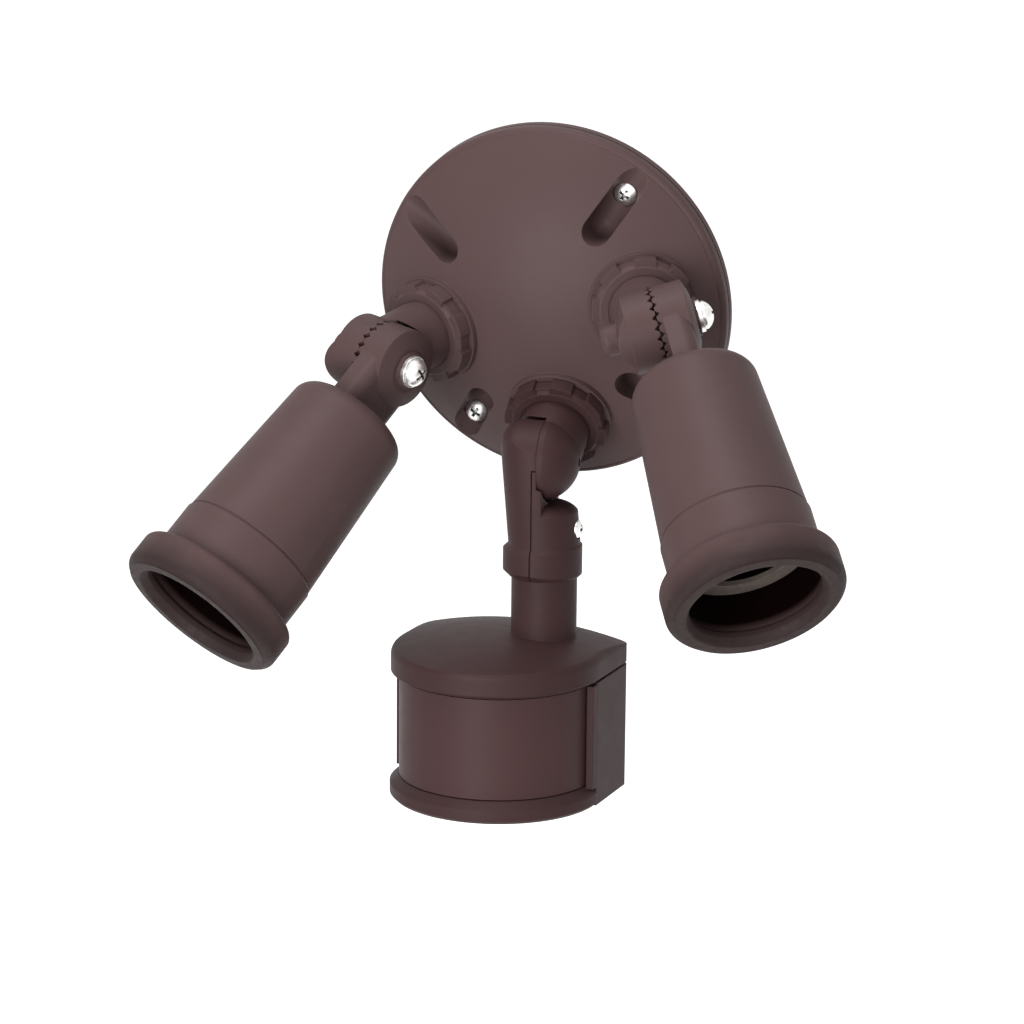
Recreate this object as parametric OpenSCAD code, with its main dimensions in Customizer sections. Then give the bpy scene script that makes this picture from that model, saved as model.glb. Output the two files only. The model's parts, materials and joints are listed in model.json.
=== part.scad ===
// Outdoor motion sensor light.
// A domed round cover plate carries two lamp holders on toothed knuckles
// and a sensor head on a jointed arm.
// Frame: the wall is the plane y = 0, y grows into the wall, z is up and the
// centre of the plate is the origin. Everything is in millimetres.

/* [Cover plate] */
// outside diameter of the round plate
plate_d = 110; // [106:0.5:114]
// height of the straight rim
rim_h = 6; // [5:0.25:7.5]
// radius of the domed face
dome_r = 85.5; // [82:0.5:92]
// wall thickness of the dome
plate_wall = 2.6; // [2.2:0.1:3.2]
// distance between the two mounting screws
screw_spacing = 88.9; // [86:0.1:90]
// radius of the mounting screw shank
mount_screw_r = 2.08; // [1.9:0.02:2.2]
// width of the four screw troughs
trough_w = 8.6; // [8:0.1:10]
// distance from the plate centre to the inner end of a trough
trough_in = 30; // [28:0.5:33]
// height of the trough floor above the wall
trough_floor = 7; // [6.6:0.1:8]
// radius of the bead round the rim
bead_r = 1.7; // [1.2:0.1:2]

/* [Wall gasket] */
// thickness of the foam gasket
gasket_t = 1.6; // [1.2:0.1:2.5]
// inner radius of the gasket
gasket_in = 47.6; // [47.4:0.1:48.4]

/* [Bosses and locknuts] */
// plan distance of the left and right bosses from the plate centre
boss_side = 33.7; // [32:0.1:35]
// plan distance of the lower boss from the plate centre
boss_low = 31.4; // [30:0.1:33]
// radius of the round stems that screw into the bosses
stub_r = 10.5; // [10:0.1:10.8]
// height of a locknut
nut_h = 4.8; // [4:0.1:5.5]
// radius over the lugs of a locknut
nut_r = 15.6; // [15:0.1:16.2]
// width of a locknut lug
lug_w = 6.6; // [5.5:0.1:7.5]

/* [Lamp knuckle] */
// height of the knuckle axis above the dome
knuckle_h = 25.5; // [24.5:0.1:28]
// radius of the toothed discs
disc_r = 11.8; // [11.2:0.1:12.2]
// distance of the toothed interface from the stem axis
face_x = 2; // [1.4:0.1:2.6]
// thickness of the disc on the arm
disc_a = 9; // [8:0.1:10]
// thickness of the disc on the lamp holder
disc_b = 12; // [11:0.1:13]
// number of notches round a disc
teeth = 24; // [18:2:28]
// depth of one notch
tooth_h = 1.3; // [0.8:0.1:1.5]
// radius of the clamp screw shank
clamp_screw_r = 2.4; // [2.2:0.05:2.6]

/* [Lamp holder] */
// distance from the knuckle axis to the back of the holder
holder_back = 20.6; // [18:0.1:22]
// radius of the holder at its back
holder_r1 = 18.6; // [18.2:0.1:19.2]
// radius of the holder at the step
holder_r2 = 21.4; // [21:0.1:22]
// distance from the knuckle axis to the step
holder_step = 72.4; // [70:0.1:74]
// distance from the knuckle axis to the front of the mouth seal
holder_front = 98.3; // [97:0.1:101]
// outer radius of the mouth seal
seal_r = 25.8; // [25.2:0.1:26.6]
// length of the mouth seal
seal_len = 11.4; // [10.5:0.1:13]
// radius of the mouth opening
mouth_r = 19; // [18.4:0.1:19.1]
// distance of the holder axis from the stem axis
holder_off = 7.1; // [6.6:0.1:7.6]
// radius of the lamp cap bore in the socket
cap_bore_r = 13.2; // [13.1:0.05:13.3]

/* [Sensor arm] */
// height of the sensor pivot above the dome
elbow_h = 19.4; // [19:0.1:22]
// thickness of the elbow disc with its domed face
elbow_t = 10.4; // [10:0.1:12]
// radius of the arm tube
arm_r = 10.8; // [10.5:0.1:11]
// radius of the collar at the end of the arm
collar_r = 12.5; // [12.2:0.1:13.2]
// radius of the sensor stem
stem_r = 9.9; // [9.6:0.1:10]

/* [Sensor head] */
// radius of the rounded front at the bottom rim
head_r = 32.6; // [32:0.1:34]
// radius of the lens
lens_r = 29.8; // [29.4:0.1:30.4]
// distance from the sensor pivot to the top edge of the head
head_top = 56.4; // [56:0.1:60]
// height of the head from its top edge to its underside
head_h = 46.2; // [45:0.1:48]
// crown of the domed top
crown = 4; // [3:0.1:5]

/* [Pose] */
// turn of the left arm in its boss
left_swivel = -14.4; // [-18:0.1:-10]
// tilt of the left lamp holder
left_tilt = 28.7; // [24:0.1:34]
// turn of the right arm in its boss
right_swivel = 2.6; // [-2:0.1:6]
// tilt of the right lamp holder
right_tilt = 39.2; // [34:0.1:44]
// turn of the sensor elbow in its boss
sensor_swivel = -11.6; // [-15:0.1:-8]
// tilt of the sensor arm
sensor_tilt = 58.7; // [56:0.1:62]
// turn of the sensor head on the arm
sensor_pan = 8; // [2:0.1:14]

/* [Hidden] */
$fn = 64;
bronze = [0.22, 0.16, 0.15];
steel = [0.8, 0.8, 0.8];
rubber = [0.12, 0.1, 0.1];
beige = [0.62, 0.58, 0.5];
brass = [0.72, 0.6, 0.32];
green = [0.1, 0.3, 0.16];
run = 0.06;
bead_step = 0.3;
seat_r = 3.9;
screw_out = 9;
e = 0.01;
plate_r = plate_d / 2;
sph_y = sqrt(dome_r * dome_r - plate_r * plate_r) - rim_h;
side_a = asin(boss_side / dome_r);
low_a = asin(boss_low / dome_r);
disc_rim = disc_b - 2.5;
seat_b = 5.6;
pad_top = 0.4;
pad_r = nut_r + 0.6;
thread_len = 12;
thread_r = stub_r - 0.3;
holder_x = holder_off;
notch_w = 2 * PI * disc_r / teeth * 0.66;
knob_r = 4.6;
knob_l = 8;
core_r = clamp_screw_r + 1.6;
flange_r = 4.8;
flange_h = 1.2;
wire_r = 4.6;
ledge = holder_step + 4.6;
flange_t = 4.8;
socket_r = 15.6;
socket_len = 33;
socket_front = ledge + flange_t;
socket_back = ledge - socket_len;
bore_r = 19.8;
tube_front = holder_front - 4.3;
seal_back = holder_front - seal_len;
elbow_x = 0.4;
arm_x = elbow_x;
seam_x = arm_x - 1.5;
seam_gap = 0.25;
split_h = 1.3;
lean = 5;
end_round = 6.5;
lip = 1.5;
collar_top = 25.2;
shell_end = arm_x - arm_r - collar_top * tan(lean);
collar_low = 35.2;
wall_arm = 2.5;
pivot_r = 5;
short_top = disc_r + 1;
groove_z = 28.6;
groove_h = 2;
clamp_z = 20.4;
dx = -11.3;
dy = 8.2;
back_y = dy - 26;
cap_r = head_r - 0.3;
back_round = 3;
edge_round = 3.2;
pillar = 3;
cap_h = 8.4;
head_bot = head_top + head_h;
rim_top = head_bot - 6.5;
hw = 2.2;
lens_low = rim_top - 0.3;
lens_top = head_top + cap_h + 0.3;
board_y = 3.2;
board_w = head_r - hw - 2.3;
relay_w = 19;
relay_t = 10;
relay_h = 15.5;
post_x = head_r - 9.2;
post_z = head_bot - 5.2;

// placing
module face() {
    rotate([90, 0, 0]) children();
}
module on_boss(tx, tz) {
    translate([0, sph_y, 0]) rotate([tx, 0, tz]) rotate([90, 0, 0])
        translate([0, 0, dome_r]) children();
}
module left_boss() {
    on_boss(0, -side_a) children();
}
module right_boss() {
    on_boss(0, side_a) children();
}
module low_boss() {
    on_boss(low_a, 0) children();
}
module left_turned() {
    left_boss() rotate([0, 0, left_swivel]) children();
}
module right_turned() {
    right_boss() rotate([0, 0, right_swivel]) children();
}
module low_turned() {
    low_boss() rotate([0, 0, sensor_swivel]) children();
}
module left_tilted() {
    left_turned() translate([0, 0, knuckle_h]) rotate([left_tilt, 0, 0]) children();
}
module right_tilted() {
    right_turned() translate([0, 0, knuckle_h]) rotate([right_tilt, 0, 0]) children();
}
module arm_tilted() {
    low_turned() translate([0, 0, elbow_h]) rotate([sensor_tilt, 0, 0]) children();
}
module head_panned() {
    arm_tilted() translate([arm_x, 0, 0]) rotate([0, 0, sensor_pan]) children();
}

// cover plate
module trough(grow) {
    w = trough_w / 2 + grow;
    translate([trough_in + trough_w / 2, 0, trough_floor + trough_w / 2]) {
        rotate([90, 0, 90]) linear_extrude(height = 40) {
            circle(r = w);
            translate([-w, 0]) square([2 * w, 40]);
        }
        rotate_extrude() intersection() {
            translate([0, -w]) square([w, 60]);
            union() {
                circle(r = w - 0.02);
                square([w - 0.02, 60]);
            }
        }
    }
}
module dome_solid(r, base) {
    intersection() {
        translate([0, 0, -sph_y]) sphere(r = r, $fn = 128);
        cylinder(r = base, h = 60, $fn = 128);
    }
}
module plate_outside() {
    bead_x = plate_r - bead_r;
    bead_z = sqrt(dome_r * dome_r - bead_x * bead_x) - sph_y - bead_r - bead_step;
    rotate_extrude($fn = 128) {
        translate([0, 0.3]) square([plate_r, 2.5]);
        translate([0, 2.7]) square([plate_r - 0.5, 0.8]);
        translate([0, 3.4]) square([plate_r, bead_z - 3.4]);
        translate([bead_x, bead_z]) circle(r = bead_r);
        translate([0, 3.4]) square([bead_x, bead_z - 3.4 + bead_r]);
        intersection() {
            translate([0, -sph_y]) circle(r = dome_r);
            square([bead_x, 60]);
        }
    }
}
module boss_pad() {
    translate([0, 0, -6]) cylinder(r = pad_r, h = 6 + pad_top);
}
module boss_inside() {
    translate([0, 0, -10.5]) cylinder(r = stub_r + 3.2, h = 9);
}
module boss_bore() {
    translate([0, 0, -14]) cylinder(r = thread_r + run, h = 20);
    translate([0, 0, pad_top - 1]) cylinder(r1 = thread_r + run, r2 = thread_r + 1, h = 1.01);
}
module plate_hollow() {
    difference() {
        union() {
            dome_solid(dome_r - plate_wall, plate_r - 8);
            translate([0, 0, -1]) cylinder(r = plate_r - 8, h = 5.2, $fn = 128);
            translate([0, 0, -1]) cylinder(r = plate_r - 3, h = 1 + gasket_t, $fn = 128);
        }
        for (a = [45:90:315]) rotate([0, 0, a]) {
            trough(2);
        }
    }
}
module cover_plate() {
    color(bronze) difference() {
        union() {
            face() difference() {
                plate_outside();
                plate_hollow();
            }
            left_boss() boss_pad();
            right_boss() boss_pad();
            low_boss() boss_pad();
            left_boss() boss_inside();
            right_boss() boss_inside();
            low_boss() boss_inside();
        }
        left_boss() boss_bore();
        right_boss() boss_bore();
        low_boss() boss_bore();
        face() for (a = [45:90:315]) rotate([0, 0, a]) trough(0);
        face() for (a = [45, 225]) rotate([0, 0, a]) translate([screw_spacing / 2, 0, 0]) {
            translate([0, 0, -1]) cylinder(r = mount_screw_r + 0.15, h = 10);
            translate([0, 0, trough_floor]) cylinder(r = seat_r, h = 20);
        }
    }
}
module wall_gasket() {
    color(rubber) face() difference() {
        cylinder(r = plate_r - 3.2, h = gasket_t - 0.02, $fn = 128);
        translate([0, 0, -1]) cylinder(r = gasket_in, h = 5, $fn = 128);
    }
}
module cross_recess(r, depth) {
    for (a = [0, 90]) rotate([0, 0, a]) translate([-r, -0.45, -depth]) cube([2 * r, 0.9, depth + 1]);
}
module pan_head(r, h) {
    ball = (r * r + (h - 0.9) * (h - 0.9)) / (2 * (h - 0.9));
    difference() {
        intersection() {
            cylinder(r = r, h = h);
            translate([0, 0, h - ball]) sphere(r = ball);
        }
        translate([0, 0, h]) cross_recess(r * 0.52, h * 0.62);
    }
}
module mounting_screws() {
    color(steel) face() for (a = [45, 225]) rotate([0, 0, a]) translate([screw_spacing / 2, 0, 0]) {
        translate([0, 0, trough_floor + 0.02]) pan_head(3.4, 2.3);
        translate([0, 0, -screw_out]) cylinder(r = mount_screw_r, h = screw_out);
        translate([0, 0, -e]) cylinder(r = mount_screw_r - 0.25, h = trough_floor + 0.3);
    }
}

// locknut with lugs
module locknut() {
    color(bronze) difference() {
        union() {
            cylinder(r = nut_r - 1, h = nut_h - 1.1);
            translate([0, 0, nut_h - 1.1 - e]) cylinder(r1 = nut_r - 1.6, r2 = nut_r - 2.6, h = 0.9);
            intersection() {
                cylinder(r = nut_r, h = nut_h - 0.4);
                union() {
                    for (a = [0:45:315]) rotate([0, 0, a]) translate([8, -lug_w / 2, 0]) cube([10, lug_w, nut_h]);
                }
            }
        }
        translate([0, 0, -1]) cylinder(r = stub_r + run, h = nut_h + 2);
    }
}
module left_locknut() {
    left_boss() translate([0, 0, pad_top + 0.02]) rotate([0, 0, 10]) locknut();
}
module right_locknut() {
    right_boss() translate([0, 0, pad_top + 0.02]) rotate([0, 0, 32]) locknut();
}
module sensor_locknut() {
    low_boss() translate([0, 0, pad_top + 0.02]) rotate([0, 0, 20]) locknut();
}

// toothed knuckle
module notches(x, dir) {
    s = notch_w / sqrt(2);
    for (i = [0:teeth - 1]) rotate([i * 360 / teeth, 0, 0])
        translate([x, 0, disc_r - 2.4]) scale([tooth_h / (notch_w / 2), 1, 1])
            rotate([0, 0, 45]) translate([-s / 2, -s / 2, 0]) cube([s, s, 4]);
}
module round_end(r, l, round) {
    rotate_extrude() intersection() {
        square([r, l]);
        union() {
            square([r, l - round]);
            square([r - round, l]);
            translate([r - round, l - round]) circle(r = round);
        }
    }
}
module lamp_arm() {
    color(bronze) difference() {
        union() {
            translate([0, 0, -thread_len]) cylinder(r = thread_r, h = thread_len + 1);
            intersection() {
                translate([0, 0, pad_top + 0.02]) cylinder(r = stub_r, h = 60);
                union() {
                    translate([-30, 0, knuckle_h]) rotate([0, 90, 0]) cylinder(r = disc_r - 0.3, h = 60);
                    translate([-30, -30, -10]) cube([60, 60, knuckle_h + 10]);
                }
            }
            translate([face_x - disc_a, 0, knuckle_h]) rotate([0, 90, 0]) cylinder(r = disc_r, h = disc_a);
            translate([face_x - disc_a - 1.2, 0, knuckle_h]) rotate([0, 90, 0])
                cylinder(r1 = disc_r - 3.4, r2 = disc_r - 0.6, h = 1.3);
            translate([face_x - disc_a + 0.5, 0, knuckle_h]) rotate([0, -90, 0])
                round_end(knob_r, knob_l + 0.5, 2.2);
        }
        translate([face_x, 0, knuckle_h]) rotate([0, 90, 0]) cylinder(r = disc_r + 0.9, h = 30);
        translate([face_x, -20, knuckle_h]) cube([30, 40, 30]);
        translate([0, 0, knuckle_h]) notches(face_x, -1);
        translate([face_x - 4.5, 0, knuckle_h]) rotate([0, 90, 0]) difference() {
            cylinder(r = 8.2, h = 6);
            translate([0, 0, -1]) cylinder(r = core_r, h = 8);
        }
        translate([-1.5, 0, -thread_len - 1]) cylinder(r = wire_r, h = thread_len + knuckle_h - 4.4);
        translate([face_x - disc_a - knob_l + 1.5, 0, knuckle_h]) rotate([0, 90, 0])
            cylinder(r = clamp_screw_r + 0.02, h = 30);
    }
}
module neck_shape(t, w, round) {
    translate([0, -w]) square([t - round, 2 * w]);
    translate([0, round - w]) square([t, 2 * (w - round)]);
    for (a = [-1, 1]) translate([t - round, a * (w - round)]) circle(r = round);
}
module domed_disc() {
    rise = disc_b - disc_rim;
    ball = (disc_r * disc_r + rise * rise) / (2 * rise);
    rotate_extrude() {
        square([disc_r, disc_rim]);
        intersection() {
            square([disc_r, disc_b - 0.9]);
            translate([0, disc_b - ball]) circle(r = ball, $fn = 128);
        }
        square([seat_b, disc_b - 0.08]);
    }
}
module lamp_holder() {
    r0 = holder_r1 - 5;
    color(bronze) difference() {
        union() {
            translate([face_x + 0.08, 0, 0]) rotate([0, 90, 0]) domed_disc();
            translate([face_x + 1.6, 0, 0]) linear_extrude(height = holder_back + 3)
                neck_shape(disc_rim - 1.6, disc_r - 0.9, 4);
            translate([holder_x, 0, holder_back]) {
                cylinder(r = r0, h = 6);
                translate([0, 0, 5]) rotate_extrude() translate([r0, 0]) circle(r = 5);
                translate([0, 0, 5]) cylinder(r1 = holder_r1, r2 = holder_r2, h = holder_step - holder_back - 5);
            }
            translate([holder_x, 0, holder_step - e]) {
                cylinder(r = holder_r2 - 0.25, h = 0.7);
                translate([0, 0, 0.6]) cylinder(r1 = holder_r2 + 0.05, r2 = holder_r2 + 0.4, h = 0.5);
                translate([0, 0, 1.1]) cylinder(r = holder_r2 + 0.4, h = tube_front - holder_step - 1.1);
            }
        }
        translate([holder_x, 0, 0]) {
            translate([0, 0, holder_back + 3]) cylinder(r1 = 15.4, r2 = 17.4, h = ledge - holder_back - 3 + e);
            translate([0, 0, ledge]) cylinder(r = bore_r, h = 60);
        }
        notches(face_x + 0.08, 1);
        translate([face_x - 2, 0, 0]) rotate([0, 90, 0]) difference() {
            cylinder(r = 8.2, h = 7.5);
            translate([0, 0, -1]) cylinder(r = core_r, h = 10);
        }
        translate([face_x + 5.2, 0, 5]) cylinder(r = 3.3, h = holder_back);
        translate([face_x - 2, 0, 0]) rotate([0, 90, 0]) cylinder(r = clamp_screw_r + run, h = 30);
    }
}
module clamp_screw() {
    color(steel) {
        translate([face_x + disc_b + 0.03, 0, 0]) rotate([0, 90, 0]) {
            cylinder(r = flange_r, h = flange_h);
            translate([0, 0, flange_h - e]) pan_head(flange_r - 0.6, 3.4);
        }
        translate([face_x - disc_a - knob_l + 2.5, 0, 0]) rotate([0, 90, 0])
            cylinder(r = clamp_screw_r, h = disc_a + disc_b + knob_l - 2.2);
    }
}
module mouth_seal() {
    round = 3.2;
    color(rubber) translate([holder_x, 0, 0]) difference() {
        union() {
            translate([0, 0, seal_back]) cylinder(r = seal_r - 2, h = seal_len);
            translate([0, 0, seal_back + 2]) cylinder(r = seal_r, h = seal_len - 2 - round);
            translate([0, 0, seal_back + 2]) rotate_extrude() translate([seal_r - 2, 0]) circle(r = 2);
            translate([0, 0, holder_front - round]) rotate_extrude() translate([seal_r - round, 0]) circle(r = round);
            translate([0, 0, seal_back]) cylinder(r = seal_r - round, h = seal_len);
        }
        translate([0, 0, seal_back - 1]) cylinder(r = holder_r2 + 0.42, h = tube_front - seal_back + 1.02);
        translate([0, 0, seal_back]) cylinder(r = mouth_r, h = 40);
        translate([0, 0, holder_front - 2.4]) cylinder(r1 = mouth_r, r2 = mouth_r + 1.5, h = 2.5);
    }
}
module lamp_socket() {
    color(beige) translate([holder_x, 0, 0]) difference() {
        union() {
            translate([0, 0, socket_back]) cylinder(r = socket_r, h = socket_front - socket_back);
            translate([0, 0, ledge + 0.03]) cylinder(r = bore_r - 0.15, h = socket_front - ledge - 0.63);
            translate([0, 0, socket_front - 0.61]) cylinder(r1 = bore_r - 0.15, r2 = bore_r - 0.75, h = 0.6);
        }
        translate([0, 0, socket_back + 4]) cylinder(r = cap_bore_r + 1.15, h = 60);
        translate([0, 0, socket_back - 1]) cylinder(r = 1.8, h = 10);
        for (a = [90, 270]) rotate([0, 0, a]) translate([9, 0, socket_back - 1]) cylinder(r = 1.4, h = 10);
    }
}
module screw_shell() {
    cup_h = 4.6;
    n = 5;
    p = 4.4;
    z0 = socket_back + 4.05;
    len = socket_front - z0 - 1.2;
    color(brass) translate([holder_x, 0, z0]) difference() {
        union() {
            cylinder(r = cap_bore_r + 0.5, h = len);
            for (i = [0:n - 1]) translate([0, 0, len - 4.2 - i * p]) rotate_extrude() translate([cap_bore_r, 0]) circle(r = 1);
        }
        translate([0, 0, 0.6]) cylinder(r = cap_bore_r - 2, h = len + 1);
        translate([0, 0, cup_h]) cylinder(r = cap_bore_r, h = len + 1);
        for (i = [0:n - 1]) translate([0, 0, len - 4.2 - i * p]) rotate_extrude() translate([cap_bore_r - 0.2, 0]) circle(r = 0.8);
        translate([0, 0, -1]) cylinder(r = 6.5, h = 4);
    }
}
module centre_contact() {
    z0 = socket_back + 4.05;
    color(brass) translate([holder_x, 0, z0]) {
        cylinder(r = 4.6, h = 0.8);
        translate([0, 0, 0.8 - e]) cylinder(r1 = 3, r2 = 2, h = 2.2);
        translate([0, 0, -6]) cylinder(r = 1.7, h = 6.1);
    }
}
module left_arm() {
    left_turned() lamp_arm();
}
module right_arm() {
    right_turned() lamp_arm();
}
module left_holder() {
    left_tilted() lamp_holder();
}
module right_holder() {
    right_tilted() lamp_holder();
}
module left_clamp_screw() {
    left_turned() translate([0, 0, knuckle_h]) rotate([25, 0, 0]) clamp_screw();
}
module right_clamp_screw() {
    right_turned() translate([0, 0, knuckle_h]) rotate([70, 0, 0]) clamp_screw();
}
module left_mouth_seal() {
    left_tilted() mouth_seal();
}
module right_mouth_seal() {
    right_tilted() mouth_seal();
}
module left_socket() {
    left_tilted() lamp_socket();
}
module right_socket() {
    right_tilted() lamp_socket();
}
module left_screw_shell() {
    left_tilted() screw_shell();
}
module right_screw_shell() {
    right_tilted() screw_shell();
}
module left_contact() {
    left_tilted() centre_contact();
}
module right_contact() {
    right_tilted() centre_contact();
}

// sensor elbow and arm
module elbow_disc() {
    crown_h = elbow_t - 1.6;
    ball = (disc_r * disc_r + crown_h * crown_h) / (2 * crown_h);
    translate([elbow_x, 0, elbow_h]) rotate([0, 90, 0]) rotate_extrude() intersection() {
        translate([0, -1]) square([disc_r, elbow_t + 1]);
        translate([0, elbow_t - ball]) circle(r = ball, $fn = 128);
    }
}
module elbow_stem(straight) {
    rotate_extrude() intersection() {
        square([stub_r, straight + stub_r]);
        union() {
            square([stub_r, straight]);
            translate([0, straight]) circle(r = stub_r);
        }
    }
}
module sensor_elbow() {
    color(bronze) low_turned() difference() {
        union() {
            translate([0, 0, -thread_len]) cylinder(r = thread_r, h = thread_len + 1);
            difference() {
                union() {
                    translate([0, 0, pad_top + 0.02]) elbow_stem(elbow_h - pad_top - 2.5);
                    elbow_disc();
                }
                translate([elbow_x - 40, 0, elbow_h]) rotate([0, 90, 0]) cylinder(r = disc_r + 0.9, h = 40);
                translate([elbow_x - 30, -20, elbow_h]) cube([30, 40, 30]);
            }
            translate([seam_x - 2.5, 0, elbow_h]) rotate([0, 90, 0]) cylinder(r = pivot_r, h = elbow_x - seam_x + 5);
            translate([seam_x - 2.5, 0, elbow_h]) rotate([0, 90, 0]) cylinder(r = pivot_r + 2, h = 2);
        }
        translate([seam_x - 3, 0, elbow_h]) rotate([0, 90, 0]) cylinder(r = 3.3, h = elbow_x - seam_x + 8);
        translate([elbow_x + 4.5, 0, -thread_len - 1]) cylinder(r = 3.5, h = thread_len + elbow_h + 1);
        translate([elbow_x + elbow_t - 0.4, 0, elbow_h]) rotate([0, 90, 0]) cylinder(r = 1.3, h = 3);
    }
}
module leaning(r) {
    translate([arm_x, 0, collar_top + 1]) rotate([0, lean, 0]) translate([0, 0, -collar_top - disc_r - 5])
        cylinder(r = r, h = collar_top + disc_r + 5);
}
module arm_upper(inset) {
    intersection() {
        leaning(arm_r - inset);
        union() {
            translate([elbow_x + 1.5, 0, 0]) rotate([0, -90, 0])
                round_end(disc_r - inset, elbow_x + 1.5 - shell_end - inset, end_round - inset);
            translate([-30, -15, 0]) cube([60, 30, 60]);
        }
    }
}
module arm_outside() {
    arm_upper(0);
    translate([arm_x, 0, collar_top]) {
        cylinder(r1 = arm_r, r2 = collar_r, h = 1.6);
        translate([0, 0, 1.6]) cylinder(r = collar_r, h = collar_low - collar_top - 3.6);
        translate([0, 0, collar_low - collar_top - 2 - e]) cylinder(r1 = collar_r, r2 = collar_r - 2, h = 2);
    }
}
module arm_inside() {
    arm_upper(wall_arm);
    difference() {
        translate([arm_x, 0, collar_top + 0.7]) cylinder(r = stem_r + run, h = 20);
        translate([arm_x, 0, groove_z + run]) difference() {
            cylinder(r = stem_r + 2, h = groove_h - 2 * run);
            translate([0, 0, -1]) cylinder(r = stem_r - 2 + run, h = 5);
        }
    }
}
module arm_wall(low, high, right) {
    intersection() {
        arm_outside();
        translate([seam_x, -15, low]) cube([right - seam_x, 30, high - low]);
    }
}
module disc_room() {
    translate([elbow_x - 0.08, 0, 0]) rotate([0, 90, 0]) cylinder(r = disc_r + 0.9, h = 40);
    translate([elbow_x - 0.08, -20, -20]) cube([30, 40, 20]);
}
module arm_long_shell() {
    color(bronze) arm_tilted() difference() {
        union() {
            difference() {
                arm_outside();
                arm_inside();
                translate([seam_x - seam_gap / 2, -20, split_h]) cube([40, 40, 60]);
            }
            arm_wall(-disc_r - 1, split_h, elbow_x - 0.08);
            intersection() {
                arm_outside();
                translate([arm_x - arm_r + 1, 0, clamp_z]) rotate([0, 90, 0])
                    cylinder(r = 3.6, h = seam_x - seam_gap / 2 - arm_x + arm_r - 1);
            }
        }
        disc_room();
        translate([seam_x - 2, 0, 0]) rotate([0, 90, 0]) cylinder(r = pivot_r + run, h = 6);
        translate([seam_x - 2, -pivot_r - run, 0]) cube([6, 2 * (pivot_r + run), split_h + 1]);
        translate([arm_x - arm_r + 3, 0, clamp_z]) rotate([0, 90, 0]) cylinder(r = 1.52, h = 20);
    }
}
module arm_short_shell() {
    color(bronze) arm_tilted() difference() {
        union() {
            difference() {
                intersection() {
                    arm_outside();
                    translate([seam_x + seam_gap / 2, -20, 10]) cube([40, 40, 60]);
                    translate([arm_x - 1, 0, short_top + 40]) rotate([180, 0, 0]) round_end(arm_r + 1.5, 40, 6.5);
                }
                intersection() {
                    arm_inside();
                    translate([arm_x - 20, -20, short_top + wall_arm]) cube([40, 40, 40]);
                }
            }
            difference() {
                arm_wall(split_h + 0.3, 16, elbow_x + lip);
                translate([seam_x - 1, -20, 0]) cube([1 + seam_gap / 2, 40, 30]);
            }
            intersection() {
                arm_outside();
                translate([seam_x + seam_gap / 2, 0, clamp_z]) rotate([0, 90, 0]) cylinder(r = 3.6, h = 12);
            }
        }
        disc_room();
        translate([seam_x - 2, 0, 0]) rotate([0, 90, 0]) cylinder(r = pivot_r + run, h = 6);
        translate([seam_x - 1, 0, clamp_z]) rotate([0, 90, 0]) cylinder(r = 1.7, h = 20);
        translate([arm_x + arm_r - 1.4, 0, clamp_z]) rotate([0, 90, 0]) cylinder(r = 3.1, h = 20);
    }
}
module arm_clamp_screw() {
    color(steel) arm_tilted() {
        translate([arm_x + arm_r - 1.38, 0, clamp_z]) rotate([0, 90, 0]) pan_head(2.8, 2.2);
        translate([arm_x - arm_r + 3.4, 0, clamp_z]) rotate([0, 90, 0]) cylinder(r = 1.5, h = 2 * arm_r - 4.5);
    }
}

// sensor head, in a frame with x to its right, y to its front and z down
module d_flat(r, w, back) {
    intersection() {
        translate([dx, dy]) circle(r = r, $fn = 128);
        translate([dx - 60, dy]) square([120, 60]);
    }
    back_shape(w, back);
}
module back_shape(w, back) {
    translate([dx - w, back + back_round]) square([2 * w, dy - back - back_round]);
    translate([dx - w + back_round, back]) square([2 * (w - back_round), dy - back]);
    for (a = [-1, 1]) translate([dx + a * (w - back_round), back + back_round]) circle(r = back_round);
}
module loaf_side() {
    square([cap_r, 80 - edge_round]);
    square([cap_r - edge_round, 80 + crown + 1]);
    translate([cap_r - edge_round, 80 - edge_round]) circle(r = edge_round);
}
module loaf() {
    translate([dx, dy, head_top - 0.8 + 80]) rotate([180, 0, 0]) {
        rotate_extrude() loaf_side();
        rotate([-90, 0, 0]) mirror([0, 1, 0]) linear_extrude(height = dy - back_y) {
            loaf_side();
            mirror([1, 0]) loaf_side();
        }
    }
}
module front_arc(r1, r2, low, high) {
    translate([dx, dy, low]) intersection() {
        cylinder(r1 = r1, r2 = r2, h = high - low, $fn = 128);
        translate([-60, 0, -1]) cube([120, 60, 80]);
    }
}
module back_post(x, z) {
    translate([x, back_y + 1, z]) rotate([-90, 0, 0]) cylinder(r = 3.1, h = dy - back_y - 1.1);
}
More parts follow.
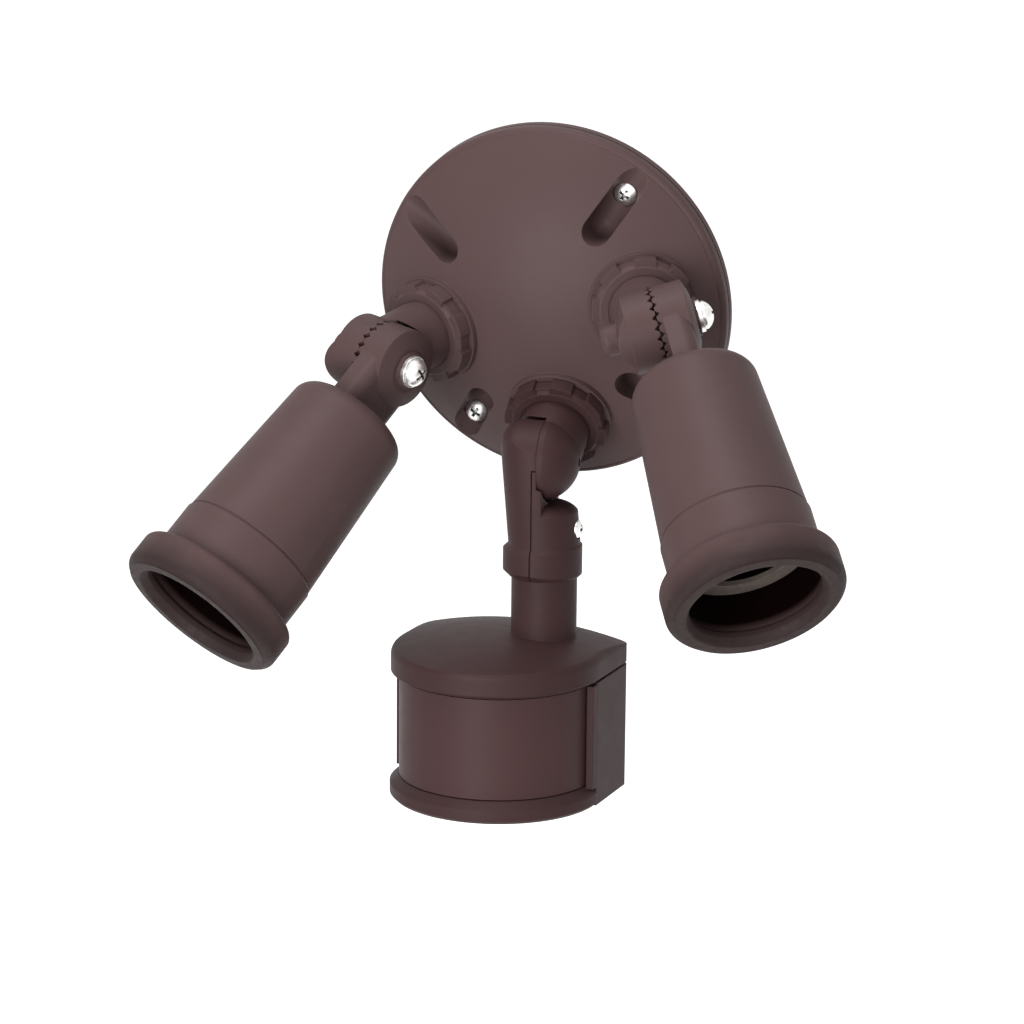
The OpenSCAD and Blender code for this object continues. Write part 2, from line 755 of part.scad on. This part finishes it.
module sensor_housing() {
    ball = (cap_r * cap_r + crown * crown) / (2 * crown);
    color(bronze) head_panned() difference() {
        union() {
            difference() {
                union() {
                    intersection() {
                        union() {
                            translate([0, 0, head_top - crown - 1]) linear_extrude(height = cap_h + crown - 0.2)
                                d_flat(cap_r, cap_r, back_y);
                            front_arc(cap_r, lens_r + 0.3, head_top + cap_h - 1.25, head_top + cap_h);
                        }
                        translate([dx, dy - 3, head_top - crown + ball]) sphere(r = ball, $fn = 128);
                        loaf();
                    }
                    translate([0, 0, head_top + cap_h - 0.4]) linear_extrude(height = head_h - cap_h + 0.4)
                        back_shape(cap_r, back_y);
                }
                translate([0, 0, head_top + 1]) linear_extrude(height = cap_h - 2.4)
                    d_flat(cap_r - hw, head_r - hw, back_y + hw);
                translate([0, 0, head_top + cap_h - 1.6]) linear_extrude(height = 8)
                    d_flat(lens_r - hw - 0.2, head_r - hw, back_y + hw);
                translate([dx - head_r + hw, back_y + hw, head_top + cap_h]) cube([2 * (head_r - hw), 40, head_h - hw - cap_h]);
            }
            translate([0, 0, 26.2]) cylinder(r = stem_r, h = head_top - 26.2 + 0.6);
            for (a = [-1, 1]) {
                translate([dx + a * (head_r - hw - 2) - 2.6, back_y + 1, head_top + 13])
                    cube([5.2, board_y - back_y - 1, 5]);
                back_post(dx + a * post_x, post_z);
            }
        }
        translate([0, 0, groove_z]) difference() {
            cylinder(r = stem_r + 2, h = groove_h);
            translate([0, 0, -1]) cylinder(r = stem_r - 2, h = 5);
        }
        translate([0, 0, 20]) cylinder(r = 5.6, h = head_top - 16);
        for (a = [-1, 1]) translate([dx + a * post_x, back_y - 1, post_z]) rotate([-90, 0, 0]) {
            cylinder(r = 1.7, h = 30);
            cylinder(r = 3, h = 2.2);
        }
    }
}
module sensor_front() {
    color(bronze) head_panned() difference() {
        union() {
            difference() {
                union() {
                    front_arc(lens_r + 0.2, head_r, rim_top, rim_top + 2.4);
                    front_arc(head_r, head_r, rim_top + 2.4 - e, head_bot - 1);
                    front_arc(head_r, head_r - 1, head_bot - 1 - e, head_bot);
                }
                front_arc(lens_r - hw, lens_r - hw, head_top, head_bot - 2.4);
                translate([dx - 40, dy - 1, head_top]) cube([80, 1.1, 60]);
            }
            for (a = [-1, 1]) {
                intersection() {
                    translate([dx + a * (head_r + lens_r + 0.3) / 2 - (head_r - lens_r - 0.3) / 2, dy + 0.1, head_top + cap_h + 0.1])
                        cube([head_r - lens_r - 0.3, pillar, rim_top - head_top - cap_h + 0.6]);
                    translate([dx, dy, head_top]) cylinder(r = cap_r, h = head_h);
                }
                translate([dx + a * post_x, dy + 0.1, post_z]) rotate([-90, 0, 0]) cylinder(r = 3, h = 8);
            }
        }
        translate([dx - 9, dy + 13, head_bot - 4]) cylinder(r = 4 + run, h = 10);
        translate([dx + 4, dy + 10.6, head_bot - 4]) cube([11, 4.8, 10]);
        for (a = [-1, 1]) translate([dx + a * post_x, dy, post_z]) rotate([-90, 0, 0])
            cylinder(r = 1.42, h = 7);
    }
}
module sensor_lens() {
    color(bronze) head_panned() difference() {
        front_arc(lens_r, lens_r, lens_top, lens_low);
        front_arc(lens_r - 1.4, lens_r - 1.4, head_top, head_bot);
        translate([dx - 40, dy - 1, head_top]) cube([80, 1.4, 60]);
    }
}
module circuit_board() {
    color(green) head_panned() difference() {
        translate([dx - board_w, board_y + 0.05, head_top + 10]) cube([2 * board_w, 1.6, head_h - 20]);
        for (x = [3.5 - board_w, board_w - 3.5]) for (z = [head_top + 12.5, head_bot - 12.5])
            translate([dx + x, board_y - 1, z]) rotate([-90, 0, 0]) cylinder(r = 1.3, h = 5);
    }
}
module motion_detector() {
    color(steel) head_panned() translate([dx, board_y + 1.68, head_top + 20]) rotate([-90, 0, 0]) difference() {
        union() {
            cylinder(r = 4.9, h = 0.9);
            cylinder(r = 4.1, h = 4.2);
        }
        translate([-1.9, -1.4, 3.7]) cube([3.8, 2.8, 2]);
    }
}
module relay() {
    color(beige) head_panned() translate([dx + 5, board_y - relay_t - 0.02, head_top + 11]) difference() {
        cube([relay_w, relay_t, relay_h]);
        translate([2, -1, relay_h - 1.9]) cube([relay_w - 4, 2, 4]);
    }
}
module light_cell() {
    color(brass) head_panned() translate([dx - 14, board_y + 1.68, head_top + 14]) rotate([-90, 0, 0]) {
        cylinder(r = 2.5, h = 1.8);
        cylinder(r = 2, h = 2.4);
    }
}
module switch_body() {
    color(steel) head_panned() translate([dx + 2.6, dy + 9.4, head_bot - 7.4]) difference() {
        cube([13.8, 7.2, 4.95]);
        translate([1.9, 1.7, 3.3]) cube([10, 3.8, 4]);
    }
}
module time_switch() {
    color(rubber) head_panned() translate([dx + 7.4, dy + 10.66, head_bot - 2.38]) {
        cube([4.2, 4.68, 3.6]);
        translate([0.9, 1.4, -1.4]) cube([2.4, 1.9, 1.5]);
        for (i = [0:2]) translate([0.5 + i * 1.3, 0, 3.6 - e]) cube([0.6, 4.68, 0.4]);
    }
}
module dial_body() {
    color(beige) head_panned() translate([dx - 9, dy + 13, head_bot - 7.8]) difference() {
        translate([-5, -5, 0]) cube([10, 10, 5.35]);
        translate([0, 0, 2]) cylinder(r = 1.56, h = 6);
    }
}
module range_dial() {
    color(rubber) head_panned() translate([dx - 9, dy + 13, head_bot - 2.36]) difference() {
        union() {
            translate([0, 0, -3]) cylinder(r = 1.5, h = 4);
            cylinder(r = 4, h = 3.4);
            for (i = [0:11]) rotate([0, 0, i * 30]) translate([3.2, -0.35, 3.4 - e]) cube([0.75, 0.7, 0.3]);
        }
        translate([-3, -0.5, 2.6]) cube([6, 1, 2]);
        translate([0, -0.5, 2.6]) cube([4.4, 1, 2]);
    }
}
module housing_screws() {
    color(steel) head_panned() for (a = [-1, 1]) translate([dx + a * post_x, back_y + 1.18, post_z]) {
        rotate([90, 0, 0]) pan_head(2.7, 1.6);
        rotate([-90, 0, 0]) cylinder(r = 1.4, h = dy - back_y + 4.5);
    }
}

cover_plate();
wall_gasket();
mounting_screws();
left_arm();
left_locknut();
left_holder();
left_clamp_screw();
left_mouth_seal();
left_socket();
left_screw_shell();
left_contact();
right_arm();
right_locknut();
right_holder();
right_clamp_screw();
right_mouth_seal();
right_socket();
right_screw_shell();
right_contact();
sensor_elbow();
sensor_locknut();
arm_long_shell();
arm_short_shell();
arm_clamp_screw();
sensor_housing();
sensor_front();
sensor_lens();
circuit_board();
motion_detector();
relay();
light_cell();
switch_body();
time_switch();
dial_body();
range_dial();
housing_screws();
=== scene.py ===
import json
import math

import bpy
from mathutils import Matrix, Vector

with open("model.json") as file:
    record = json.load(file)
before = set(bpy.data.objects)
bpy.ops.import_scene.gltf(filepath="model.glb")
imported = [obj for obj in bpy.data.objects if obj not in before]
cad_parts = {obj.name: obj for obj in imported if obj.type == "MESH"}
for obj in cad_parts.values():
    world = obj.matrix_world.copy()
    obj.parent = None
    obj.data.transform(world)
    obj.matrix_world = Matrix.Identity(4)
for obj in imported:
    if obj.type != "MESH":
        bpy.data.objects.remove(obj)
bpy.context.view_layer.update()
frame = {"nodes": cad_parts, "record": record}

MM = 0.001
NODES = frame["nodes"]
SLOT_OF = {s["node"]: s["material_slot"] for s in frame["record"]["subparts"]}

# camera, fitted to the photograph: degrees, metres and pixels of a 1024 pixel picture
PICTURE = 1024
SENSOR_MM = 36
FOCAL_PIXELS = 3688.45
AZIMUTH = 23.9
ELEVATION = 18.89
ROLL = -13.03
DISTANCE = 1.1195
AIM_SIDE = 0.0139
AIM_UP = 0.06553

# colours, linear
BRONZE = (0.0770, 0.0460, 0.0455)
PLASTIC = (0.0430, 0.0210, 0.0215)
SEAL = (0.0640, 0.0365, 0.0360)
# painted shade: the near-black colour inside the lamp holders and seals
HOLLOW_SHADE = (0.0030, 0.0008, 0.0008)
# painted shade in the screws' recesses
RECESS_SHADE = (0.02, 0.02, 0.022)
BRASS_DARK, BRASS_BRIGHT = (0.42, 0.27, 0.09), (0.62, 0.43, 0.17)
# painted shade on the brass deep in the holders
BRASS_SHADE = (0.010, 0.007, 0.004)
FOAM_DARK, FOAM_LIGHT = (0.006, 0.006, 0.007), (0.03, 0.03, 0.032)
MASK_DARK, MASK_LIGHT = (0.006, 0.05, 0.018), (0.012, 0.09, 0.03)
WHITE = (1, 1, 1, 1)
FLOOR_GREY = (0.60, 0.60, 0.60, 1)

# the two lamp mouths: the painted shade inside the holders, seals and brass shells is placed from their
# axes
MOUNT = {m["name"]: m for m in frame["record"]["mounts"]}
MOUTHS = [MOUNT["left_lamp_mouth"], MOUNT["right_lamp_mouth"]]
# reach of the painted shade inside the holders, seals and brass shells and on the seals' lips, measured
# from each lamp's axis and mouth
HOLDER_SHADE = (20.1 * MM, 4 * MM, 13.6 * MM)
SEAL_SHADE = (19.25 * MM, 3 * MM, 13.6 * MM)
SHELL_SHADE = (15 * MM, 8 * MM, 70 * MM)
SEAL_LIP_SHADE = (5 * MM, 1.5 * MM, 30 * MM)

# the domed face of the plate: its middle and the centre of its sphere
DOME_TOP = (0, -26.04 * MM, 0)
DOME_CENTRE = (0, 59.46 * MM, 0)
DOME_EVEN, DOME_FADE = 4 * MM, 6 * MM

# studio, in metres and watts
FLOOR_Z = -0.62
FLOOR_HALF = 4.0
FLOOR_GLOW = 0.82
WORLD_LIGHT = 0.40
LIGHT_AIM = (0, -0.05, -0.04)
BEVEL_SAMPLES = 6


# materials
class Surface:
    """A Principled material with object-space noise helpers."""

    def __init__(self, name):
        self.material = bpy.data.materials.new(name)
        self.material.use_nodes = True
        self.tree = self.material.node_tree
        self.shader = self.tree.nodes["Principled BSDF"]
        self.coords = self.tree.nodes.new("ShaderNodeTexCoord").outputs["Object"]
        self.normal = None

    def link(self, a, b):
        self.tree.links.new(a, b)

    def set(self, **values):
        for key, value in values.items():
            socket = self.shader.inputs[key.replace("_", " ")]
            socket.default_value = (*value, 1) if isinstance(value, tuple) else value

    def noise(self, size, detail=2.0, stretch=(1, 1, 1)):
        """Noise whose blobs are about size metres across."""
        mapping = self.tree.nodes.new("ShaderNodeMapping")
        mapping.inputs["Scale"].default_value = Vector(stretch)
        self.link(self.coords, mapping.inputs["Vector"])
        node = self.tree.nodes.new("ShaderNodeTexNoise")
        node.inputs["Scale"].default_value = 1 / size
        node.inputs["Detail"].default_value = detail
        node.inputs["Roughness"].default_value = 0.5
        self.link(mapping.outputs["Vector"], node.inputs["Vector"])
        return node.outputs["Fac"]

    def cells(self, size):
        """Distance to the middle of round cells about size metres across."""
        node = self.tree.nodes.new("ShaderNodeTexVoronoi")
        node.inputs["Scale"].default_value = 1 / size
        self.link(self.coords, node.inputs["Vector"])
        return node.outputs["Distance"]

    def spread(self, value, low, high, a=0.3, b=0.7):
        """value between a and b mapped to low..high."""
        node = self.tree.nodes.new("ShaderNodeMapRange")
        node.inputs["From Min"].default_value = a
        node.inputs["From Max"].default_value = b
        node.inputs["To Min"].default_value = low
        node.inputs["To Max"].default_value = high
        self.link(value, node.inputs["Value"])
        return node.outputs["Result"]

    def tint(self, value, dark, light, a=0.3, b=0.7):
        """dark where value is a, light where it is b."""
        ramp = self.tree.nodes.new("ShaderNodeValToRGB")
        ramp.color_ramp.elements[0].position = a
        ramp.color_ramp.elements[0].color = (*dark, 1)
        ramp.color_ramp.elements[1].position = b
        ramp.color_ramp.elements[1].color = (*light, 1)
        self.link(value, ramp.inputs["Fac"])
        return ramp.outputs["Color"]

    def blend(self, factor, first, second):
        """first where factor is 0, second where it is 1; each a colour or a socket."""
        node = self.tree.nodes.new("ShaderNodeMix")
        node.data_type = "RGBA"
        self.link(factor, node.inputs[0])
        for socket, value in ((node.inputs[6], first), (node.inputs[7], second)):
            if isinstance(value, tuple):
                socket.default_value = (*value, 1)
            else:
                self.link(value, socket)
        return node.outputs[2]

    def vector(self, operation, a, b=None):
        """A vector sum, product or length; a and b are each a vector or a socket."""
        node = self.tree.nodes.new("ShaderNodeVectorMath")
        node.operation = operation
        for socket, value in zip(node.inputs, (a, b)):
            if value is None:
                continue
            if isinstance(value, (tuple, list, Vector)):
                socket.default_value = value
            else:
                self.link(value, socket)
        result = "Value" if operation in ("LENGTH", "DOT_PRODUCT") else "Vector"
        return node.outputs[result]

    def math(self, operation, a, b):
        node = self.tree.nodes.new("ShaderNodeMath")
        node.operation = operation
        for socket, value in zip(node.inputs, (a, b)):
            if isinstance(value, float):
                socket.default_value = value
            else:
                self.link(value, socket)
        return node.outputs["Value"]

    def from_mouth(self, mount):
        """Distance from the lamp's axis, and the way along it from the mouth outwards."""
        offset = self.vector("SUBTRACT", self.coords, mount["pos_m"])
        across = self.vector("LENGTH", self.vector("CROSS_PRODUCT", offset, mount["axis"]))
        return across, self.vector("DOT_PRODUCT", offset, mount["axis"])

    def either_lamp(self, mask):
        """The larger of mask(across, along) for the two lamps."""
        first, second = (mask(*self.from_mouth(mount)) for mount in MOUTHS)
        return self.math("MAXIMUM", first, second)

    def inside_lamps(self, radius, full, depth):
        """Within radius of a lamp axis: 0 at the mouth, 1 from full to depth behind it, 0 beyond."""
        def mask(across, along):
            near = self.math("LESS_THAN", across, radius)
            here = self.math("MULTIPLY", near, self.math("GREATER_THAN", along, -depth))
            return self.math("MULTIPLY", here, self.spread(along, 1.0, 0.0, -full, -0.3 * MM))
        return self.either_lamp(mask)

    def near_mouths(self, back, front, reach):
        """0 from back behind a lamp's mouth, rising to 1 at front; 0 beyond reach of its axis."""
        def mask(across, along):
            near = self.math("LESS_THAN", across, reach)
            return self.math("MULTIPLY", near, self.spread(along, 0.0, 1.0, -back, front))
        return self.either_lamp(mask)

    def rounded(self, radius):
        """The normal, with edges rounded over radius."""
        node = self.tree.nodes.new("ShaderNodeBevel")
        node.samples = BEVEL_SAMPLES
        node.inputs["Radius"].default_value = radius
        return node.outputs["Normal"]

    def edge_wear_and_highlight(self, radius):
        """1 at sharp edges and 0 on flat faces."""
        plain = self.tree.nodes.new("ShaderNodeNewGeometry").outputs["Normal"]
        same = self.vector("DOT_PRODUCT", self.rounded(radius), plain)
        return self.spread(same, 1.0, 0.0, 0.90, 0.995)

    def crevice(self, distance):
        """1 in recesses narrower than distance and 0 in the open."""
        node = self.tree.nodes.new("ShaderNodeAmbientOcclusion")
        node.samples = 8
        node.only_local = True
        node.inputs["Distance"].default_value = distance
        return self.spread(node.outputs["AO"], 1.0, 0.0, 0.35, 0.75)

    def soft_edges(self, radius):
        self.normal = self.rounded(radius)

    def even_dome(self):
        """The sphere's own normal round the middle of the dome, where the mesh is a fan of triangles."""
        out = self.vector("NORMALIZE", self.vector("SUBTRACT", self.coords, DOME_CENTRE))
        away = self.vector("LENGTH", self.vector("SUBTRACT", self.coords, DOME_TOP))
        node = self.tree.nodes.new("ShaderNodeMix")
        node.data_type = "VECTOR"
        self.link(self.spread(away, 1.0, 0.0, DOME_EVEN, DOME_FADE), node.inputs[0])
        self.link(self.normal, node.inputs[4])
        self.link(out, node.inputs[5])
        self.normal = node.outputs[1]

    def bump(self, value, height):
        node = self.tree.nodes.new("ShaderNodeBump")
        node.inputs["Strength"].default_value = 1.0
        node.inputs["Distance"].default_value = height
        self.link(value, node.inputs["Height"])
        if self.normal is not None:
            self.link(self.normal, node.inputs["Normal"])
        self.normal = node.outputs["Normal"]

    def done(self):
        if self.normal is not None:
            self.link(self.normal, self.shader.inputs["Normal"])
        return self.material


def scaled(colour, k):
    return tuple(c * k for c in colour)


def satin_coat(name, colour, roughness, peel, edge, specular=0.12, shade_inside=None):
    """A satin coat: faint cloudiness, orange peel, a fine grain, and edges painted a little lighter,
    partly as wear and partly as a painted highlight.
    """
    s = Surface(name)
    lighter_fleck_wear_and_highlight = scaled(colour, 1.5)
    cloud = s.tint(s.noise(22 * MM, 3), scaled(colour, 0.965), scaled(colour, 1.035))
    speck = s.blend(s.spread(s.noise(0.35 * MM, 1), 0.0, 0.16, 0.55, 0.75), cloud, lighter_fleck_wear_and_highlight)
    # lighter sharp edges: partly wear, partly a painted highlight
    coat = s.blend(s.spread(s.edge_wear_and_highlight(0.5 * MM), 0.0, 0.35, 0.0, 1.0), speck, lighter_fleck_wear_and_highlight)
    s.set(Specular_IOR_Level=specular)
    # painted shade: inside the lamp holders the coat turns nearly black and reflects little
    if shade_inside is not None:
        inside = s.inside_lamps(*shade_inside)
        coat = s.blend(inside, coat, HOLLOW_SHADE)
        s.link(s.spread(inside, specular, 0.03), s.shader.inputs["Specular IOR Level"])
    s.link(coat, s.shader.inputs["Base Color"])
    gloss = s.spread(s.noise(6 * MM, 3), roughness - 0.02, roughness + 0.03)
    s.link(gloss, s.shader.inputs["Roughness"])
    s.soft_edges(edge)
    if shade_inside is not None:
        s.even_dome()
    s.bump(s.noise(1.3 * MM, 2), peel)
    s.bump(s.noise(0.25 * MM, 2), peel * 0.4)
    return s.done()


def plated_steel(name, colour, roughness):
    """Bright zinc plating with faint cloudy patches, fine marks and painted shade in the recesses."""
    s = Surface(name)
    plating = s.tint(s.noise(1.4 * MM, 4), scaled(colour, 0.80), colour)
    # painted shade in the recesses, such as a screw head's cross, found by ambient occlusion
    shade_in_recess = s.crevice(1.6 * MM)
    s.link(s.blend(shade_in_recess, plating, RECESS_SHADE), s.shader.inputs["Base Color"])
    s.link(s.spread(shade_in_recess, 1.0, 0.2), s.shader.inputs["Metallic"])
    gloss = s.spread(s.noise(0.7 * MM, 4), roughness - 0.06, roughness + 0.12)
    s.link(gloss, s.shader.inputs["Roughness"])
    s.soft_edges(0.2 * MM)
    s.bump(s.noise(0.35 * MM, 3), 0.004 * MM)
    return s.done()


def brass_sheet(name):
    """Tarnished brass, with painted shade making it nearly black where it lies deep in the holder."""
    s = Surface(name)
    bright = s.tint(s.noise(3 * MM, 4), BRASS_DARK, BRASS_BRIGHT)
    # painted shade: the brass turns nearly black deep in the holder
    metal = s.blend(s.inside_lamps(*SHELL_SHADE), bright, BRASS_SHADE)
    s.link(metal, s.shader.inputs["Base Color"])
    s.link(s.spread(s.noise(1.0 * MM, 3), 0.32, 0.48), s.shader.inputs["Roughness"])
    s.set(Metallic=1.0)
    s.bump(s.noise(0.5 * MM, 3), 0.008 * MM)
    return s.done()


def soft_rubber(name, colour):
    """Matt rubber, darker towards the lip and nearly black inside the mouth, both as painted shade."""
    s = Surface(name)
    # painted shade: nearly black inside the mouth
    inside = s.inside_lamps(*SEAL_SHADE)
    skin = s.tint(s.noise(9 * MM, 3), scaled(colour, 0.93), scaled(colour, 1.07))
    # painted shade: darker on the lip round the mouth
    skin = s.blend(s.near_mouths(*SEAL_LIP_SHADE), skin, scaled(colour, 0.42))
    s.link(s.blend(inside, skin, HOLLOW_SHADE), s.shader.inputs["Base Color"])
    s.link(s.spread(s.noise(2 * MM, 3), 0.55, 0.68), s.shader.inputs["Roughness"])
    s.link(s.spread(inside, 0.16, 0.02), s.shader.inputs["Specular IOR Level"])
    s.soft_edges(1.2 * MM)
    s.bump(s.noise(0.5 * MM, 4), 0.008 * MM)
    return s.done()


def foam(name):
    """Open black foam with fine cells."""
    s = Surface(name)
    cells = s.tint(s.cells(0.5 * MM), FOAM_DARK, FOAM_LIGHT, 0.1, 0.8)
    s.link(cells, s.shader.inputs["Base Color"])
    s.set(Roughness=0.9, Specular_IOR_Level=0.2)
    s.bump(s.cells(0.5 * MM), 0.12 * MM)
    return s.done()


def moulded(name, dark, light, roughness, grain=0.012):
    """Moulded plastic or ceramic with a fine grain, whose height is in millimetres."""
    s = Surface(name)
    s.link(s.tint(s.noise(2.5 * MM, 4), dark, light), s.shader.inputs["Base Color"])
    gloss = s.spread(s.noise(1.2 * MM, 3), roughness - 0.06, roughness + 0.08)
    s.link(gloss, s.shader.inputs["Roughness"])
    s.soft_edges(0.25 * MM)
    s.bump(s.noise(0.3 * MM, 3), grain * MM)
    return s.done()


def circuit_mask(name):
    """Green solder mask with raised tracks."""
    s = Surface(name)
    tracks = s.noise(1.6 * MM, 0, stretch=(1, 1, 0.2))
    s.link(s.tint(tracks, MASK_DARK, MASK_LIGHT, 0.48, 0.52), s.shader.inputs["Base Color"])
    s.link(s.spread(s.noise(3 * MM, 2), 0.25, 0.4), s.shader.inputs["Roughness"])
    s.bump(s.spread(tracks, 0, 1, 0.48, 0.52), 0.03 * MM)
    return s.done()


MATERIAL = {
    "bronze_metal": satin_coat("bronze_metal", BRONZE, 0.50, 0.006 * MM, 0.45 * MM,
                               shade_inside=HOLDER_SHADE),
    "bronze_plastic": satin_coat("bronze_plastic", PLASTIC, 0.52, 0.004 * MM, 0.6 * MM),
    "lens_film": satin_coat("lens_film", scaled(PLASTIC, 1.28), 0.46, 0.002 * MM, 0.2 * MM),
    "bright_screws": plated_steel("bright_screws", (0.95, 0.94, 0.92), 0.34),
    "seal_rubber": soft_rubber("seal_rubber", SEAL),
    "gasket_foam": foam("gasket_foam"),
    "socket_body": moulded("socket_body", (0.105, 0.082, 0.070), (0.140, 0.112, 0.096), 0.7,
                           grain=0.02),
    "brass": brass_sheet("brass"),
    "board_green": circuit_mask("board_green"),
    "tin_can": plated_steel("tin_can", (0.72, 0.71, 0.69), 0.3),
    "relay_case": moulded("relay_case", (0.012, 0.012, 0.016), (0.02, 0.02, 0.026), 0.35),
    "light_cell": moulded("light_cell", (0.35, 0.1, 0.04), (0.5, 0.2, 0.08), 0.2),
    "control_black": moulded("control_black", (0.010, 0.009, 0.009), (0.018, 0.016, 0.016), 0.45),
}


def dress_nodes():
    """Give each CAD node the material of its slot."""
    for name, node in NODES.items():
        node.data.materials.clear()
        node.data.materials.append(MATERIAL[SLOT_OF[name]])


dress_nodes()


# floor, backdrop and light
def seen_directly(tree):
    """1 for camera, reflection and transmission rays, 0 for the light's own rays."""
    path = tree.nodes.new("ShaderNodeLightPath")
    total = path.outputs["Is Camera Ray"]
    for name in ("Is Glossy Ray", "Is Transmission Ray"):
        either = tree.nodes.new("ShaderNodeMath")
        either.operation = "MAXIMUM"
        tree.links.new(total, either.inputs[0])
        tree.links.new(path.outputs[name], either.inputs[1])
        total = either.outputs["Value"]
    return total


def background_material():
    """White to the camera and to reflections, with the shadow of the object left in."""
    material = bpy.data.materials.new("floor_white")
    material.use_nodes = True
    tree = material.node_tree
    shader = tree.nodes["Principled BSDF"]
    shader.inputs["Base Color"].default_value = FLOOR_GREY
    shader.inputs["Roughness"].default_value = 0.95
    shader.inputs["Specular IOR Level"].default_value = 0.0
    shader.inputs["Emission Color"].default_value = WHITE
    level = tree.nodes.new("ShaderNodeMapRange")
    level.inputs["To Min"].default_value = 0.0
    level.inputs["To Max"].default_value = FLOOR_GLOW
    tree.links.new(seen_directly(tree), level.inputs["Value"])
    tree.links.new(level.outputs["Result"], shader.inputs["Emission Strength"])
    return material


def make_floor():
    """A plain square floor under the part."""
    corners = [(-1, -1), (1, -1), (1, 1), (-1, 1)]
    mesh = bpy.data.meshes.new("floor")
    mesh.from_pydata([(x * FLOOR_HALF, y * FLOOR_HALF, FLOOR_Z) for x, y in corners],
                     [], [(0, 1, 2, 3)])
    floor = bpy.data.objects.new("floor", mesh)
    bpy.context.scene.collection.objects.link(floor)
    mesh.materials.append(background_material())


def make_world():
    """White where the camera or a reflection looks, a weaker even light elsewhere."""
    world = bpy.data.worlds.new("studio")
    bpy.context.scene.world = world
    world.use_nodes = True
    tree = world.node_tree
    background = tree.nodes["Background"]
    level = tree.nodes.new("ShaderNodeMapRange")
    level.inputs["To Min"].default_value = WORLD_LIGHT
    level.inputs["To Max"].default_value = 1.0
    tree.links.new(seen_directly(tree), level.inputs["Value"])
    background.inputs["Color"].default_value = WHITE
    tree.links.new(level.outputs["Result"], background.inputs["Strength"])


def photo_axes():
    """Camera right, up and back axes in the row frame."""
    a, e, r = (math.radians(v) for v in (AZIMUTH, ELEVATION, ROLL))
    back = Vector((math.sin(a) * math.cos(e), -math.cos(a) * math.cos(e), math.sin(e)))
    level = Vector((math.cos(a), math.sin(a), 0))
    up = back.cross(level)
    right = math.cos(r) * level + math.sin(r) * up
    return (right, back.cross(right), back)


def make_camera():
    """The camera that was fitted to the photograph."""
    right, up, back = photo_axes()
    data = bpy.data.cameras.new("camera")
    data.sensor_width = SENSOR_MM
    data.lens = FOCAL_PIXELS * SENSOR_MM / PICTURE
    data.clip_end = 20
    camera = bpy.data.objects.new("camera", data)
    bpy.context.scene.collection.objects.link(camera)
    place = back * DISTANCE - right * AIM_SIDE - up * AIM_UP
    turn = Matrix((right, up, back)).transposed()
    camera.matrix_world = Matrix.Translation(place) @ turn.to_4x4()
    bpy.context.scene.camera = camera


def area_light(name, place, size, power, glossy=True):
    """A round lamp aimed at the part; glossy says whether reflections show it."""
    data = bpy.data.lights.new(name, "AREA")
    data.shape = "DISK"
    data.size = size
    data.energy = power
    lamp = bpy.data.objects.new(name, data)
    bpy.context.scene.collection.objects.link(lamp)
    lamp.visible_glossy = glossy
    lamp.location = place
    lamp.rotation_euler = (Vector(LIGHT_AIM) - Vector(place)).to_track_quat("-Z", "Y").to_euler()


def make_lights():
    area_light("key", (-0.10, -1.35, 0.22), 0.9, 17)
    area_light("fill", (1.1, -0.8, 0.25), 0.8, 1.5)
    area_light("top", (0.1, -0.1, 1.3), 0.9, 12)
    area_light("back", (-0.45, 1.3, 0.45), 0.9, 6, glossy=False)


make_floor()
make_world()
make_camera()
make_lights()
bpy.context.scene.view_settings.view_transform = "Standard"
